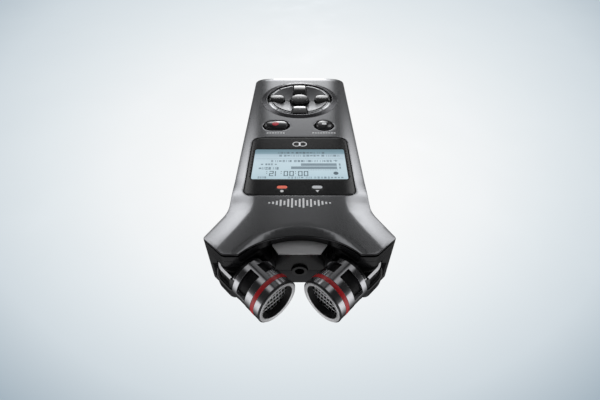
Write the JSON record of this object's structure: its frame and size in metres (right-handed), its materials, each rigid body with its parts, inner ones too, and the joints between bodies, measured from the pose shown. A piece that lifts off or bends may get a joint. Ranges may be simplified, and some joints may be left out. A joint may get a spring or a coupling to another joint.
{
  "type": "portable field recorder",
  "caption": "Handheld audio recorder with two swivelling stereo microphones, display, round control pad, side sockets and a battery bay behind a sliding door.",
  "frame": {"origin": "centre of the tripod socket's mouth, in the plane of the back", "axes": "+Z is the face normal, +Y runs from the microphones to the foot end, +X is to the right with the foot end away from the viewer"},
  "size_m": [0.0692, 0.1587, 0.026],
  "materials": {
    "face_paint": "satin metallic gunmetal paint",
    "black_gloss": "glossy black moulding",
    "black_matte": "fine-textured black moulding",
    "key_black": "glossy black key tops",
    "key_silver": "satin silver painted keys",
    "pad_silver": "turned aluminium with fine rings",
    "window_black": "glossy black display lens",
    "lcd_blue": "pale blue backlit display",
    "red_lens": "lit red lens",
    "white_lens": "clear white lens",
    "mic_chrome": "dark polished nickel",
    "rim_silver": "bevelled bright rim",
    "red_ring": "red anodised ring",
    "mesh_steel": "fine wire grille",
    "mesh_black": "black inner screen",
    "capsule_metal": "drawn aluminium can",
    "grey_rubber": "soft grey rubber",
    "port_rubber": "black flexible cover",
    "port_black": "black socket moulding",
    "circuit_green": "green solder resist",
    "contact_steel": "nickel-plated steel",
    "screw_steel": "zinc-plated steel",
    "screw_black": "black-coated steel",
    "brass_insert": "machined brass insert",
    "speaker_black": "black speaker basket",
    "battery_wrap": "plain printed cell sleeve",
    "black_nylon": "nylon friction washer"
  },
  "bodies": {
    "root": {"face_panel": "face_paint", "front_cover": "black_gloss", "pivot_frame": "black_gloss", "nose_trim": "face_paint", "rear_cover": "black_matte", "batteries": "battery_wrap", "battery_contacts": "contact_steel", "battery_springs": "contact_steel", "speaker": "speaker_black", "tripod_insert": "brass_insert", "main_board": "circuit_green", "key_board": "circuit_green", "keypad_membrane": "grey_rubber", "board_screws": "screw_steel", "case_screws": "screw_black", "display_window": "window_black", "lcd_module": "lcd_blue", "rec_light": "red_lens", "peak_light": "white_lens", "pad_bezel": "face_paint", "pad_ring": "pad_silver", "phones_jack": "port_black", "mic_jack": "port_black", "usb_port": "contact_steel", "card_socket": "contact_steel", "pivot_pins": "contact_steel", "pivot_washers": "black_nylon"},
    "mic_left": {"mic_arm_left": "black_gloss", "mic_sleeve_left": "mic_chrome", "mic_red_ring_left": "red_ring", "mic_rim_left": "rim_silver", "mic_grille_left": "mesh_steel", "mic_screen_left": "mesh_black", "mic_capsule_left": "capsule_metal", "mic_shock_mount_left": "grey_rubber"},
    "mic_right": {"mic_arm_right": "black_gloss", "mic_sleeve_right": "mic_chrome", "mic_red_ring_right": "red_ring", "mic_rim_right": "rim_silver", "mic_grille_right": "mesh_steel", "mic_screen_right": "mesh_black", "mic_capsule_right": "capsule_metal", "mic_shock_mount_right": "grey_rubber"},
    "corner_key_far_left": {"corner_key_far_left": "key_silver"},
    "corner_key_far_right": {"corner_key_far_right": "key_silver"},
    "corner_key_near_left": {"corner_key_near_left": "key_silver"},
    "corner_key_near_right": {"corner_key_near_right": "key_silver"},
    "skip_back_key": {"skip_back_key": "key_black"},
    "skip_forward_key": {"skip_forward_key": "key_black"},
    "minus_key": {"minus_key": "key_black"},
    "plus_key": {"plus_key": "key_black"},
    "play_key": {"play_key": "key_black"},
    "record_button": {"record_button": "key_black"},
    "stop_button": {"stop_button": "key_black"},
    "hold_switch": {"hold_switch": "key_black"},
    "level_up_button": {"level_up_button": "key_black"},
    "level_down_button": {"level_down_button": "key_black"},
    "battery_door": {"battery_door": "black_matte"},
    "card_cover": {"card_cover": "port_rubber"}
  },
  "joints": [
    {"name": "mic_left_swivel", "type": "hinge", "parent": "root", "child": "mic_left", "pos_m": [-0.02315, -0.0507, 0.013], "axis": [0, 0, 1], "range_deg": [-90, 0]},
    {"name": "mic_right_swivel", "type": "hinge", "parent": "root", "child": "mic_right", "pos_m": [0.02315, -0.0507, 0.013], "axis": [0, 0, 1], "range_deg": [0, 90]},
    {"name": "corner_key_far_left_press", "type": "slide", "parent": "root", "child": "corner_key_far_left", "axis": [0, 0, -1], "range_m": [0, 0.0004], "stiffness_N_per_m": 30},
    {"name": "corner_key_far_right_press", "type": "slide", "parent": "root", "child": "corner_key_far_right", "axis": [0, 0, -1], "range_m": [0, 0.0004], "stiffness_N_per_m": 30},
    {"name": "corner_key_near_left_press", "type": "slide", "parent": "root", "child": "corner_key_near_left", "axis": [0, 0, -1], "range_m": [0, 0.0004], "stiffness_N_per_m": 30},
    {"name": "corner_key_near_right_press", "type": "slide", "parent": "root", "child": "corner_key_near_right", "axis": [0, 0, -1], "range_m": [0, 0.0004], "stiffness_N_per_m": 30},
    {"name": "skip_back_key_press", "type": "slide", "parent": "root", "child": "skip_back_key", "axis": [0, 0, -1], "range_m": [0, 0.0004], "stiffness_N_per_m": 30},
    {"name": "skip_forward_key_press", "type": "slide", "parent": "root", "child": "skip_forward_key", "axis": [0, 0, -1], "range_m": [0, 0.0004], "stiffness_N_per_m": 30},
    {"name": "minus_key_press", "type": "slide", "parent": "root", "child": "minus_key", "axis": [0, 0, -1], "range_m": [0, 0.0004], "stiffness_N_per_m": 30},
    {"name": "plus_key_press", "type": "slide", "parent": "root", "child": "plus_key", "axis": [0, 0, -1], "range_m": [0, 0.0004], "stiffness_N_per_m": 30},
    {"name": "play_key_press", "type": "slide", "parent": "root", "child": "play_key", "axis": [0, 0, -1], "range_m": [0, 0.0004], "stiffness_N_per_m": 30},
    {"name": "record_button_press", "type": "slide", "parent": "root", "child": "record_button", "axis": [0, 0, -1], "range_m": [0, 0.0004], "stiffness_N_per_m": 30},
    {"name": "stop_button_press", "type": "slide", "parent": "root", "child": "stop_button", "axis": [0, 0, -1], "range_m": [0, 0.0004], "stiffness_N_per_m": 30},
    {"name": "level_up_button_press", "type": "slide", "parent": "root", "child": "level_up_button", "axis": [-1, 0, 0], "range_m": [0, 0.0004], "stiffness_N_per_m": 30},
    {"name": "level_down_button_press", "type": "slide", "parent": "root", "child": "level_down_button", "axis": [-1, 0, 0], "range_m": [0, 0.0004], "stiffness_N_per_m": 30},
    {"name": "hold_slide", "type": "slide", "parent": "root", "child": "hold_switch", "axis": [0, 1, 0], "range_m": [0, 0.003]},
    {"name": "battery_door_slide", "type": "slide", "parent": "root", "child": "battery_door", "axis": [0, 1, 0], "range_m": [0, 0.008]},
    {"name": "card_cover_hinge", "type": "hinge", "parent": "root", "child": "card_cover", "pos_m": [0.027, -0.008, 0.0052], "axis": [0, 1, 0], "range_deg": [0, 90]}
  ]
}
